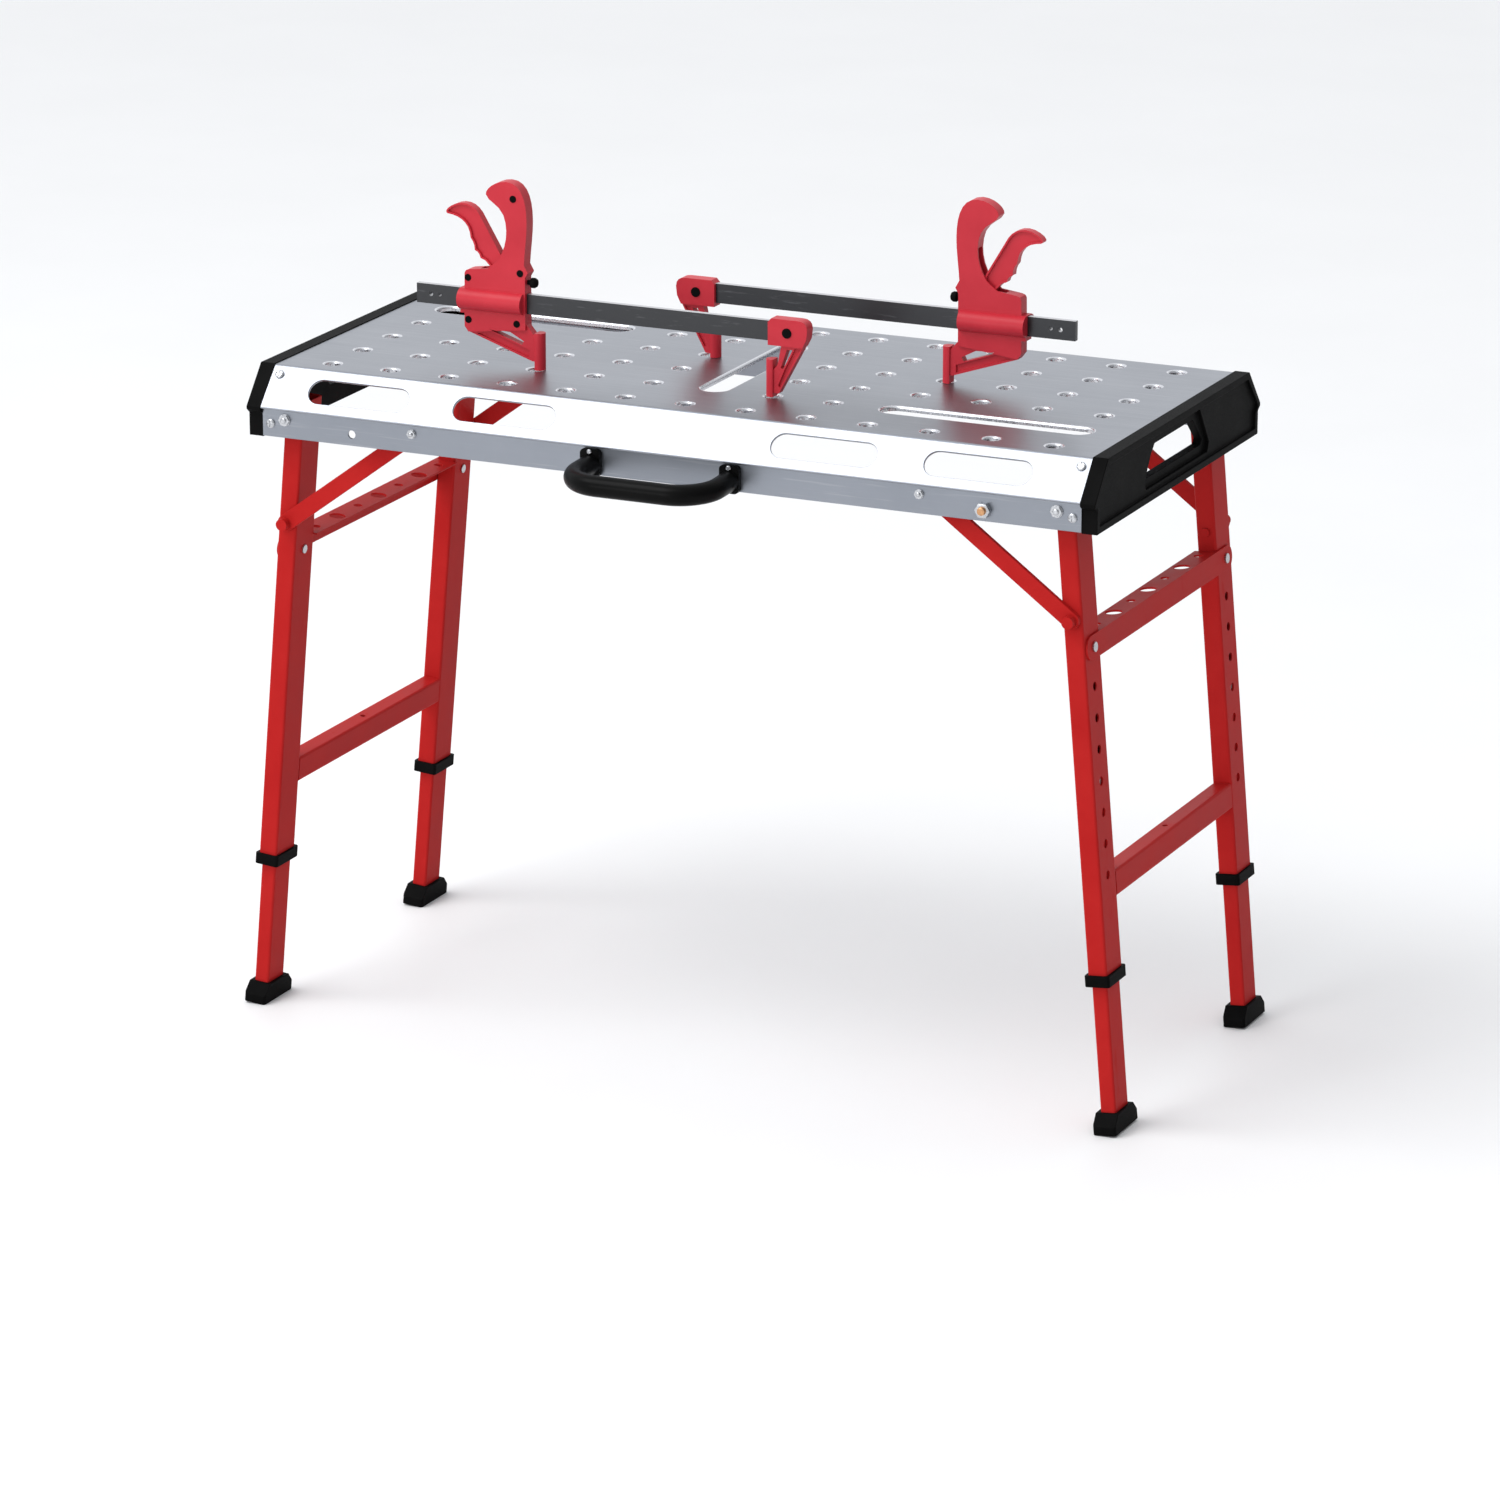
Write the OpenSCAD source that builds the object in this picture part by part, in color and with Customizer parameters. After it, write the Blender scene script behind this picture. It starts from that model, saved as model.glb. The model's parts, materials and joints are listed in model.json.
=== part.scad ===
// Folding steel welding table with two bar clamps.
// Frame: +X along the table, +Y towards the back, +Z up, in millimetres.
// The origin is on the floor, under the middle of the whole footprint.

/* [Work surface] */
// Height of the work surface above the floor
table_h = 675.3; // [640:0.1:720]
// Length of the sheet between the end caps
sheet_l = 882; // [870:1:900]
// Half depth of the flat work surface
flat_half = 186.3; // [184:0.1:190]
// How far each sloping edge runs outwards
slope_out = 33.1; // [32:0.1:35]
// How far each sloping edge runs down
slope_down = 37.3; // [36:0.1:39]
// Thickness of the top sheet
sheet_t = 3; // [2.5:0.1:3.2]
// Spacing of the fixture holes along the table
hole_pitch_x = 65; // [64:0.5:66]
// Spacing of the fixture holes across the table
hole_pitch_y = 64; // [63:0.5:65]
// Radius of a fixture hole
hole_r = 8; // [7:0.1:8.5]
// Radius of the pressed rim round a fixture hole
rim_r = 10.2; // [9.5:0.1:11]
// Width of the three long slots
slot_w = 29; // [27:0.5:31]
// Width of the pressed rim along a slot
slot_rim = 2.2; // [1.5:0.1:2.5]
// Length of the two slots along the table
slot_l = 222; // [215:1:226]
// Length of the slot across the table
cross_slot_l = 210; // [200:1:214]
// Length of a window in a sloping edge
window_l = 112; // [105:1:116]
// Height of a window, measured down the slope
window_h = 27; // [24:0.5:30]

/* [Rails and caps] */
// Distance from the table's centre to the outer face of a rail
rail_y = 214.4; // [214:0.1:215]
// Depth of a rail's lower edge below the work surface
rail_bottom = 67.1; // [66:0.1:69]
// Thickness of the rail sheet
rail_t = 2.5; // [2:0.1:2.5]
// Thickness of an end cap
cap_t = 16; // [14:0.5:18]

/* [Legs] */
// Distance from the middle to a leg pivot along the table
pivot_x = 416; // [414:0.5:417]
// Depth of the leg pivots below the work surface
pivot_z = 48.6; // [48:0.1:50]
// Outward lean of each leg frame in degrees
splay = 5; // [4.5:0.1:5.5]
// Distance from the middle to a leg's centre across the table
leg_y = 175.4; // [174:0.1:176]
// Leg tube size along the table
leg_a = 20; // [19:0.5:20]
// Leg tube size across the table
leg_b = 40; // [38:0.5:40]
// Wall of the leg tubes
leg_wall = 1.5; // [1.2:0.1:1.6]
// Spacing of the height holes
height_step = 31.5; // [31:0.1:32]
// Distance from the pivot down to the hole in use
lock_s = 276.5; // [276:0.5:277]

/* [Braces] */
// Distance from the leg pivot down to the brace pin
brace_s = 111.4; // [110:0.1:113]
// Distance from the middle to the brace's upper end
brace_x = 273.6; // [272:0.1:275]
// Depth of the brace's upper end below the work surface
brace_z = 47.6; // [47:0.1:49]
// Width of a brace bar
brace_w = 17; // [15:0.5:18]

/* [Clamps] */
// Distance between the two posts of a clamp
clamp_span = 256; // [250:1:262]
// Height of a clamp bar's centre line above the work surface
bar_z = 66; // [65:0.5:67]
// Height of a clamp bar's section
bar_h = 20; // [19:0.5:20]
// Thickness of a clamp bar
bar_t = 6; // [5:0.5:6]
// Length of a clamp bar
bar_l = 419; // [410:1:425]

/* [Hidden] */
$fn = 32;

steel = [0.64, 0.66, 0.70];
bright = [0.80, 0.80, 0.82];
black = [0.09, 0.09, 0.09];
leg_red = [0.76, 0.14, 0.14];
clamp_red = [0.84, 0.22, 0.28];
bar_grey = [0.27, 0.27, 0.27];
copper = [0.72, 0.45, 0.25];

// Run-out that lets a cutter pass both faces
cut = 1;
// Gap between moving pieces that lie face to face
gap = 0.5;

// The handle reaches further out than the rear edge, and the origin lies midway.
handle_reach = 294;
edge_y = flat_half + slope_out;
top_y = (handle_reach - edge_y) / 2;

slope_a = atan2(slope_down, slope_out);
slope_len = norm([slope_out, slope_down]);
slope_ratio = slope_down / slope_out;
window_t = slope_len / 2;
window_x = [-338.5, -177, 168, 329.5];
columns = [-6:6];
rows = [-2.5:2.5];
rim_drop = 2.4;

cap_x = sheet_l / 2;
cap_screw_x = cap_x - 9;
cap_screw_z = 53.5;
slope_screw = 10.8;
screw_r = 1.5;
stud_x = 341;
stud_z = 55.5;
stud_r = 4;
stud_out = 9;
stud_in = 11;
stud_nut = 14;
stud_nut_h = 6;
hang_hole_r = 4.3;
handle_x = 75;
handle_z = 55.6;
handle_screw_z = 42.4;
handle_screw_r = 1.6;
rail_inner = rail_y - rail_t;

leg_top = 14;
outer_end = 475.5;
collar_a = 467.5;
collar_b = 479;
collar_wall = 3;
foot_a = 24;
foot_b = 60;
foot_h = 20;
foot_side = 8.5;
foot_shoulder = 9.5;
foot_floor = 6;
corner_r = 2.5;
shell_r = 3;
sole_s = (table_h - pivot_z - foot_a / 2 * sin(splay)) / cos(splay);
inner_a = 16;
inner_b = 34;
inner_top = 250;
height_hole_r = 4.5;
cross_s = 385;
cross_h = 26;
tool_s = 142.8;
tool_h = 24;
tool_flange = 25;
tool_hole_r = 8.5;
tool_small_r = 4.6;
tool_t = 2;
tool_hole_y = 45;
tool_reach = leg_y - leg_b / 2 - gap;
rivet_r = 3;
button_r = 4;
button_flange = 5.5;

pivot_r = 5;
pin_r = 4;
// Radial clearance of a turning bore, and the gap round a sliding bar or leg
run = 0.05;
slide_gap = 0.3;
leg_face = leg_y + leg_b / 2;
brace_in = leg_face + 2 * slide_gap;
brace_t = 5;
brace_out = brace_in + brace_t;
guide_in = brace_out + 5;
guide_t = 3;
guide_w = 18;
guide_l = 180;
guide_mid = brace_x - guide_l / 2 + guide_w / 2;
brace_pin_x = pivot_x + brace_s * sin(splay);
brace_pin_z = pivot_z + brace_s * cos(splay);
brace_rise = brace_pin_z - brace_z;
brace_run = brace_pin_x - brace_x;
brace_len = norm([brace_rise, brace_run]);
brace_a = atan2(brace_rise, brace_run);

front_post = [65, -96];
rear_post = [-55, 26];
post_r = 6.6;
post_h = 37.6;
post_back = 2.5;
stand = 0.3;
bar_end = 28;
jaw_pin_x = 18;
jaw_pin_r = 3;
jaw_head_r = 5;
jaw_head_t = 4;
head_t = 7.2;
head_seat = 4.8;
head_hollow = 5.1;
jaw_t = 14;
arm_t = 4.5;
core = 2.4;
bar_slot = bar_h + 2 * slide_gap;
shell_screw_r = 1.6;
shell_head_r = 3.6;
knob_z = 87.6;
knob_r = 2.5;
trigger_pivot = [-42, 98];
trigger_pin_r = 2.5;
trigger_rim = 1.8;

// ---------- placing ----------

// From the centre of the work surface to the table's own frame
module at_top() translate([0, top_y, table_h]) children();

// Right-hand shapes, mirrored for the left end of the table
module side_of(side) {
    if (side > 0) children();
    else mirror([1, 0, 0]) children();
}

// Front shapes, turned half way round for the back of the table
module end_of(front) {
    if (front) children();
    else rotate([0, 0, 180]) children();
}

// A leg's own frame: its origin is the pivot, -Z runs down the leg, +X is outwards
module in_leg(side)
    at_top() side_of(side)
        translate([pivot_x, 0, -pivot_z]) rotate([0, -splay, 0]) children();

// A clamp's own frame: its origin is the foot of the fixed post, +X away from the head
module in_clamp(front) {
    post = front ? front_post : rear_post;
    at_top() translate([post[0], post[1], stand])
        rotate([0, 0, front ? 0 : 180]) children();
}

module in_head(front) in_clamp(front) translate([-clamp_span, 0, 0]) children();

// ---------- small shapes ----------

// A bar with round ends, its long way along X
module stadium(l, w) {
    square([l - w, w], center = true);
    for (s = [-1, 1]) translate([s * (l - w) / 2, 0]) circle(d = w);
}

// A rectangle with rounded corners
module rounded(w, h, r) {
    square([w - 2 * r, h], center = true);
    square([w, h - 2 * r], center = true);
    for (x = [-1, 1], y = [-1, 1]) translate([x * (w / 2 - r), y * (h / 2 - r)]) circle(r = r);
}

// A drawn rectangular tube along +Z
module tube(w, h, wall, r, l) difference() {
    linear_extrude(l) rounded(w, h, r);
    translate([0, 0, -cut]) linear_extrude(l + 2 * cut)
        rounded(w - 2 * wall, h - 2 * wall, r - wall);
}

// A cylinder along +Y from y = a to y = b
module y_pin(x, z, r, a, b) translate([x, b, z]) rotate([90, 0, 0]) cylinder(r = r, h = b - a);

// A cylinder along +X from x = a to x = b
module x_pin(y, z, r, a, b) translate([a, y, z]) rotate([0, 90, 0]) cylinder(r = r, h = b - a);

// An outline in the X-Z plane, given thickness from y = a to y = b
module xz_slab(a, b) translate([0, b, 0]) rotate([90, 0, 0]) linear_extrude(b - a) children();

// An outline in the Y-Z plane, run along X from x = a to x = b
module yz_bar(a, b) translate([a, 0, 0]) rotate([90, 0, 90]) linear_extrude(b - a) children();

// Points along a cubic curve, the first one left out
function curve(p, n = 6) = [for (i = [1:n]) let (t = i / n, u = 1 - t)
    u * u * u * p[0] + 3 * u * u * t * p[1] + 3 * u * t * t * p[2] + t * t * t * p[3]];

// An anticlockwise outline drawn in by d
function drawn_in(p, d) = [for (i = [0:len(p) - 1]) let (
    a = p[(i + len(p) - 1) % len(p)],
    c = p[(i + 1) % len(p)],
    u = (p[i] - a) / norm(p[i] - a),
    v = (c - p[i]) / norm(c - p[i])
) p[i] + d * [-u[1] - v[1], u[0] + v[0]] / (1 + u * v)];

// ---------- work surface ----------

// Half of the sheet's folded section, for y > 0
function half_section() = [
    [0, 0],
    [flat_half, 0],
    [edge_y, -slope_down],
    [edge_y - sheet_t * sin(slope_a), -slope_down - sheet_t * cos(slope_a)],
    [flat_half - sheet_t * tan(slope_a / 2), -sheet_t],
    [0, -sheet_t]
];

module sheet_section() {
    polygon(half_section());
    mirror([1, 0]) polygon(half_section());
}

// The slots replace the fixture holes that lie on them
function in_slot(c, r) =
    (r == 1.5 && c <= -3) || (r == -1.5 && c >= 3) || (c == 0 && abs(r) <= 1.5);

module each_hole()
    for (c = columns, r = rows)
        if (!in_slot(c, r)) translate([c * hole_pitch_x, r * hole_pitch_y, 0]) children();

// The three slots, widened by grow on every side
module slots(grow) {
    for (s = [-1, 1])
        translate([s * 4.5 * hole_pitch_x, -s * 1.5 * hole_pitch_y])
            stadium(slot_l + 2 * grow, slot_w + 2 * grow);
    rotate(90) stadium(cross_slot_l + 2 * grow, slot_w + 2 * grow);
}

// On the front slope, t down from its upper edge, with +Z out of the sheet
module on_slope(x, t)
    translate([x, -flat_half, 0]) rotate([slope_a, 0, 0]) translate([0, -t, 0]) children();

// Cutters for the four windows of the front slope
module window_cutters()
    for (x = window_x) on_slope(x, window_t) translate([0, 0, -4 * sheet_t])
        linear_extrude(8 * sheet_t) stadium(window_l, window_h);

module top_plate() color(steel) at_top() difference() {
    union() {
        yz_bar(-cap_x, cap_x) sheet_section();
        each_hole() translate([0, 0, -sheet_t - rim_drop]) cylinder(r = rim_r, h = rim_drop + cut);
        translate([0, 0, -sheet_t - rim_drop]) linear_extrude(rim_drop + cut) slots(slot_rim);
    }
    each_hole() {
        translate([0, 0, -2 * sheet_t]) cylinder(r = hole_r, h = 3 * sheet_t);
        translate([0, 0, -1.6]) cylinder(r1 = hole_r, r2 = rim_r, h = 1.6);
    }
    translate([0, 0, -2 * sheet_t]) linear_extrude(3 * sheet_t) slots(0);
    translate([0, 0, -0.8]) linear_extrude(2) slots(slot_rim / 2);
    for (f = [true, false]) end_of(f) {
        window_cutters();
        for (s = [-1, 1]) on_slope(s * cap_screw_x, slope_screw) translate([0, 0, -3 * sheet_t])
            cylinder(r = screw_r, h = 4 * sheet_t);
    }
}

// ---------- rails, caps and fittings ----------

rail_top_out = slope_down - (edge_y - rail_y) * slope_ratio + sheet_t / cos(slope_a);
rail_top_in = rail_top_out - rail_t * slope_ratio;

module rail(front) color(steel) at_top() end_of(front) difference() {
    yz_bar(-cap_x, cap_x) polygon([
        [-rail_y, -rail_bottom], [-rail_inner, -rail_bottom],
        [-rail_inner, -rail_top_in], [-rail_y, -rail_top_out]
    ]);
    for (s = [-1, 1]) {
        rail_hole(s * pivot_x, -pivot_z, pivot_r);
        rail_hole(s * brace_x, -brace_z, pin_r);
        rail_hole(s * cap_screw_x, -cap_screw_z, screw_r);
    }
    if (front) {
        for (s = [-1, 1]) rail_hole(s * handle_x, -handle_screw_z, handle_screw_r);
        rail_hole(stud_x, -stud_z, stud_r);
        rail_hole(-stud_x, -stud_z, hang_hole_r);
    }
}

module rail_hole(x, z, r) y_pin(x, z, r, -rail_y - cut, -rail_inner + cut);

module front_rail() rail(true);
module rear_rail() rail(false);

// Right half of a cap's outline, drawn in by d
function cap_half(d) = let (e = edge_y - d, b = rail_y - 1 - d, low = -rail_bottom - 1.2 + d) [
    [flat_half + 1 - d * tan(slope_a / 2), 1 - d],
    [e, -slope_down],
    [e, -slope_down - 3],
    [b, -slope_down - 8],
    [b, low]
];

module cap_face(d) {
    points = cap_half(d);
    n = len(points);
    polygon(concat(points, [for (i = [n - 1:-1:0]) [-points[i][0], points[i][1]]]));
}

// The hand hole is wider at the bottom
module hand_hole(grow) polygon([
    [-50 - grow, -17 + grow], [50 + grow, -17 + grow],
    [76 + grow, -42 - grow / 2], [72 + grow, -47 - grow],
    [-72 - grow, -47 - grow], [-76 - grow, -42 - grow / 2]
]);

// The cap's tongue lies against the inside of the sheet and rail
module cap_tongue() polygon([
    [150, -sheet_t - 0.1], [flat_half - 1.8, -sheet_t - 0.1],
    [rail_inner - 0.1, -rail_top_in - 0.4], [rail_inner - 0.1, -rail_bottom + 3],
    [rail_inner - 5, -rail_bottom + 3], [rail_inner - 5, -rail_top_in - 4],
    [flat_half - 5, -sheet_t - 6], [150, -sheet_t - 6]
]);

module end_cap(side) color(black) at_top() side_of(side) difference() {
    union() {
        yz_bar(cap_x, cap_x + cap_t) cap_face(0);
        yz_bar(cap_x - 15, cap_x + 1) cap_tongue();
        yz_bar(cap_x - 15, cap_x + 1) mirror([1, 0]) cap_tongue();
    }
    yz_bar(cap_x + cap_t - 3, cap_x + cap_t + cut) cap_face(7);
    yz_bar(cap_x - cut, cap_x + cap_t + cut) hand_hole(0);
    yz_bar(cap_x + cap_t - 7, cap_x + cap_t + cut) hand_hole(9);
    cap_screw_holes();
    mirror([0, 1, 0]) cap_screw_holes();
}

// Pilot holes for the two screws at the front of a cap
module cap_screw_holes() {
    y_pin(cap_screw_x, -cap_screw_z, screw_r, -rail_y, -rail_inner + 8);
    on_slope(cap_screw_x, slope_screw) translate([0, 0, -9]) cylinder(r = screw_r, h = 9 - sheet_t);
}

module left_end_cap() end_cap(-1);
module right_end_cap() end_cap(1);

// A pan head screw along -Z, with its head on the plane z = 0
module pan_screw(r, head_r, l) {
    difference() {
        union() {
            cylinder(r = head_r, h = 1.3);
            translate([0, 0, 1.3]) cylinder(r1 = head_r, r2 = head_r * 0.7, h = 1);
        }
        translate([-head_r * 0.7, -0.6, 1.4]) cube([head_r * 1.4, 1.2, 2]);
        translate([-0.6, -head_r * 0.7, 1.4]) cube([1.2, head_r * 1.4, 2]);
    }
    translate([0, 0, -l]) cylinder(r = r, h = l + 0.1);
}

module cap_screws() color(bright) at_top()
    for (f = [true, false], s = [-1, 1]) end_of(f) {
        translate([s * cap_screw_x, -rail_y, -cap_screw_z]) rotate([90, 0, 0])
            pan_screw(screw_r, 4.6, 9);
        on_slope(s * cap_screw_x, slope_screw) pan_screw(screw_r, 4.6, 7.5);
    }

// A washer and a hex nut standing towards -Y from y = 0, with the bevelled bolt end showing
module hex_nut(across, h, bolt_r) rotate([90, 0, 0]) {
    cylinder(r = across * 0.6, h = 1.2);
    cylinder(d = across / cos(30), h = h, $fn = 6);
    cylinder(r = bolt_r, h = h + 1);
    translate([0, 0, h + 1]) cylinder(r1 = bolt_r, r2 = bolt_r * 0.6, h = 0.8);
}

// Leg pivot bolts: head outside, shoulder inside the rail, shank through the leg's outer wall
module pivot_bolts() color(bright) at_top()
    for (f = [true, false], s = [-1, 1]) end_of(f) {
        translate([s * pivot_x, -rail_y, -pivot_z]) hex_nut(10.5, 3.2, 3);
        y_pin(s * pivot_x, -pivot_z, pivot_r, -rail_y, -leg_y + leg_b / 2 - 3);
        y_pin(s * pivot_x, -pivot_z, 8, -rail_inner, -leg_face - 0.3);
    }

// Guide strips behind the rails, which the upper ends of the braces slide along
module brace_guides() color(bright) at_top()
    for (f = [true, false], s = [-1, 1]) end_of(f) difference() {
        union() {
            translate([s * guide_mid, -guide_in, -brace_z]) rotate([90, 0, 0])
                linear_extrude(guide_t) stadium(guide_l, guide_w);
            for (x = [brace_x - guide_l + guide_w, brace_x])
                y_pin(s * x, -brace_z, guide_w / 2, -rail_inner, -guide_in - guide_t / 2);
        }
        translate([s * guide_mid, -guide_in + cut, -brace_z]) rotate([90, 0, 0])
            linear_extrude(guide_t + 2 * cut) stadium(guide_l - 3 * guide_w, 2 * pin_r + 1);
        y_pin(s * brace_x, -brace_z, pin_r, -rail_y, -guide_in + cut);
    }

module guide_bolts() color(bright) at_top()
    for (f = [true, false], s = [-1, 1]) end_of(f) {
        translate([s * brace_x, -rail_y, -brace_z]) hex_nut(8, 2.8, 2.3);
        y_pin(s * brace_x, -brace_z, pin_r, -rail_y, -guide_in);
    }

// Earth terminal: a stud through the front rail with a nut on each side
module ground_stud() at_top() {
    color(copper) y_pin(stud_x, -stud_z, stud_r, -rail_y - stud_out, -rail_inner + stud_in);
    color(bright) for (y = [-rail_y, -rail_inner + stud_nut_h])
        translate([stud_x, y, -stud_z]) rotate([90, 0, 0])
            cylinder(d = stud_nut / cos(30), h = stud_nut_h, $fn = 6);
}

handle_tube_r = 10.5;
handle_bend = 38;
handle_droop = 2;
ear_t = 6;
ear_w = 2 * handle_tube_r;
ear_top = 39.8;
ear_low = handle_z + handle_tube_r + 2;
handle_out = (handle_reach - handle_tube_r - rail_y) / cos(handle_droop);

// Grip tube bent from two elbows, drooping from the rail
module handle_tube() {
    for (s = [-1, 1]) {
        translate([s * handle_x, 4, 0]) rotate([90, 0, 0])
            cylinder(r = handle_tube_r, h = handle_out - handle_bend + 4);
        translate([s * (handle_x - handle_bend), -handle_out + handle_bend, 0])
            rotate([0, 0, s > 0 ? -90 : 180])
                rotate_extrude(angle = 90) translate([handle_bend, 0]) circle(r = handle_tube_r);
    }
    translate([-handle_x + handle_bend, -handle_out, 0]) rotate([0, 90, 0])
        cylinder(r = handle_tube_r, h = 2 * (handle_x - handle_bend));
}

module carry_handle() color(black) at_top() difference() {
    union() {
        intersection() {
            translate([0, -rail_y, -handle_z]) rotate([handle_droop, 0, 0]) handle_tube();
            translate([-100, -handle_reach - 20, -120]) cube([200, handle_reach + 20 - rail_y, 120]);
        }
        for (s = [-1, 1])
            translate([s * handle_x, -rail_y, -(ear_top + ear_low) / 2]) rotate([90, 0, 0])
                linear_extrude(ear_t) rounded(ear_w, ear_low - ear_top, 5);
    }
    for (s = [-1, 1])
        y_pin(s * handle_x, -handle_screw_z, handle_screw_r, -rail_y - ear_t - cut, -rail_y + cut);
}

module handle_screws() color(bright) at_top()
    for (s = [-1, 1])
        translate([s * handle_x, -rail_y - ear_t, -handle_screw_z]) rotate([90, 0, 0])
            pan_screw(handle_screw_r, 2.6, 11);

// ---------- leg frames ----------

// One leg tube, front = -1 or rear = +1
module leg_tube(side, y) color(leg_red) in_leg(side) difference() {
    translate([0, y * leg_y, -outer_end])
        tube(leg_a, leg_b, leg_wall, corner_r, outer_end + leg_top);
    y_pin(0, 0, pivot_r + run, y * leg_y - leg_b, y * leg_y + leg_b);
    y_pin(0, -brace_s, pin_r, y * leg_y - leg_b, y * leg_y + leg_b);
    x_pin(y * leg_y, -tool_s, rivet_r, -leg_a, leg_a);
    for (i = [-3:3]) x_pin(y * leg_y, -lock_s - i * height_step, height_hole_r, 0, leg_a);
}

module left_front_leg() leg_tube(-1, -1);
module left_rear_leg() leg_tube(-1, 1);
module right_front_leg() leg_tube(1, -1);
module right_rear_leg() leg_tube(1, 1);

// Angle section across the legs: web riveted outside, holed flange between the legs
module tool_rail(side) color(leg_red) in_leg(side) difference() {
    union() {
        translate([leg_a / 2, 0, -tool_s]) rotate([90, 0, 90])
            linear_extrude(tool_t) stadium(2 * leg_face - 6, tool_h);
        translate([leg_a / 2 - tool_flange + tool_t, -tool_reach, -tool_s + tool_h / 2 - tool_t])
            cube([tool_flange, 2 * tool_reach, tool_t]);
    }
    for (y = [-1, 1]) x_pin(y * leg_y, -tool_s, rivet_r, leg_a / 2 - cut, leg_a);
    for (i = [-3:3])
        translate([leg_a / 2 - tool_flange / 2 + tool_t / 2, i * tool_hole_y, -tool_s])
            cylinder(r = i % 2 == 0 ? tool_hole_r : tool_small_r, h = tool_h);
}

module left_tool_rail() tool_rail(-1);
module right_tool_rail() tool_rail(1);

// Rectangular tube welded between the legs
module cross_tube(side) color(leg_red) in_leg(side) difference() {
    translate([0, leg_y - leg_b / 2, -cross_s]) rotate([90, 0, 0])
        tube(leg_a, cross_h, leg_wall, corner_r, 2 * leg_y - leg_b);
    translate([0, 0, -cross_s]) cylinder(r = 3, h = cross_h);
}

module left_cross_tube() cross_tube(-1);
module right_cross_tube() cross_tube(1);

module rail_rivets(side) color(bright) in_leg(side)
    for (y = [-1, 1]) {
        x_pin(y * leg_y, -tool_s, rivet_r, -leg_a / 2 - 1, leg_a / 2 + tool_t + 1);
        x_pin(y * leg_y, -tool_s, rivet_r + 2, leg_a / 2 + tool_t, leg_a / 2 + tool_t + 2);
        x_pin(y * leg_y, -tool_s, rivet_r + 1.5, -leg_a / 2 - 1.5, -leg_a / 2);
    }

module left_rail_rivets() rail_rivets(-1);
module right_rail_rivets() rail_rivets(1);

// Plastic collars that close the leg tubes and guide the inner legs
module leg_collars(side) color(black) in_leg(side)
    for (y = [-1, 1]) translate([0, y * leg_y, -collar_b]) difference() {
        linear_extrude(collar_b - collar_a)
            rounded(leg_a + 2 * collar_wall, leg_b + 2 * collar_wall, shell_r);
        translate([0, 0, collar_b - outer_end]) linear_extrude(collar_b) rounded(leg_a, leg_b, corner_r);
        translate([0, 0, -cut]) linear_extrude(collar_b)
            rounded(inner_a + 2 * slide_gap, inner_b + 2 * slide_gap, corner_r);
    }

module left_leg_collars() leg_collars(-1);
module right_leg_collars() leg_collars(1);

// Pins fixed in the legs, which the braces turn on
module brace_pins(side) color(leg_red) in_leg(side)
    for (y = [-1, 1]) scale([1, y, 1]) {
        y_pin(0, -brace_s, pin_r, leg_y - leg_b / 2 - 2, brace_out + 1);
        y_pin(0, -brace_s, 4.2, leg_y - leg_b / 2 - 2.5, leg_y - leg_b / 2);
        y_pin(0, -brace_s, 6, brace_out + 0.3, brace_out + 8.5);
    }

module left_brace_pins() brace_pins(-1);
module right_brace_pins() brace_pins(1);

// Flat brace from the leg pin up to the guide behind the rail
module brace(side, y) color(leg_red) at_top() side_of(side) scale([1, y, 1]) {
    translate([brace_pin_x, 0, -brace_pin_z]) rotate([0, brace_a, 0]) {
        difference() {
            xz_slab(brace_in, brace_out)
                translate([-brace_len / 2, 0]) stadium(brace_len + brace_w, brace_w);
            y_pin(0, 0, pin_r + run, brace_in - cut, brace_out + cut);
        }
        y_pin(-brace_len, 0, pin_r, brace_out - 0.5, guide_in - gap);
    }
}

module left_front_brace() brace(-1, -1);
module left_rear_brace() brace(-1, 1);
module right_front_brace() brace(1, -1);
module right_rear_brace() brace(1, 1);

// Telescoping inner leg with a hole for its spring button
module inner_leg(side, y) color(leg_red) in_leg(side) translate([0, y * leg_y, 0]) difference() {
    translate([0, 0, -sole_s + foot_floor])
        tube(inner_a, inner_b, leg_wall, corner_r, sole_s - foot_floor - inner_top);
    x_pin(0, -lock_s, button_r + run, 0, inner_a);
}

module left_front_inner_leg() inner_leg(-1, -1);
module left_rear_inner_leg() inner_leg(-1, 1);
module right_front_inner_leg() inner_leg(1, -1);
module right_rear_inner_leg() inner_leg(1, 1);

// Foot: a block square to the leg, its upper shoulders sloping in to the tube
module foot(side, y) color(black) in_leg(side) translate([0, y * leg_y, -sole_s]) difference() {
    intersection() {
        linear_extrude(foot_h) rounded(foot_a, foot_b, shell_r);
        yz_bar(-foot_a, foot_a) polygon([
            [-foot_b / 2, 0], [foot_b / 2, 0], [foot_b / 2, foot_side],
            [foot_b / 2 - foot_shoulder, foot_h - 1], [foot_b / 2 - foot_shoulder - 1, foot_h],
            [foot_shoulder + 1 - foot_b / 2, foot_h], [foot_shoulder - foot_b / 2, foot_h - 1],
            [-foot_b / 2, foot_side]
        ]);
    }
    translate([0, 0, foot_floor]) linear_extrude(foot_h) rounded(inner_a, inner_b, corner_r);
}

module left_front_foot() foot(-1, -1);
module left_rear_foot() foot(-1, 1);
module right_front_foot() foot(1, -1);
module right_rear_foot() foot(1, 1);

// Spring button: its domed end shows in the leg's height hole
module leg_button(side, y) color(bright) in_leg(side) {
    x_pin(y * leg_y, -lock_s, button_r, 1.5, inner_a / 2 + 0.2);
    x_pin(y * leg_y, -lock_s, button_flange, 1.5, 3);
}

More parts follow.
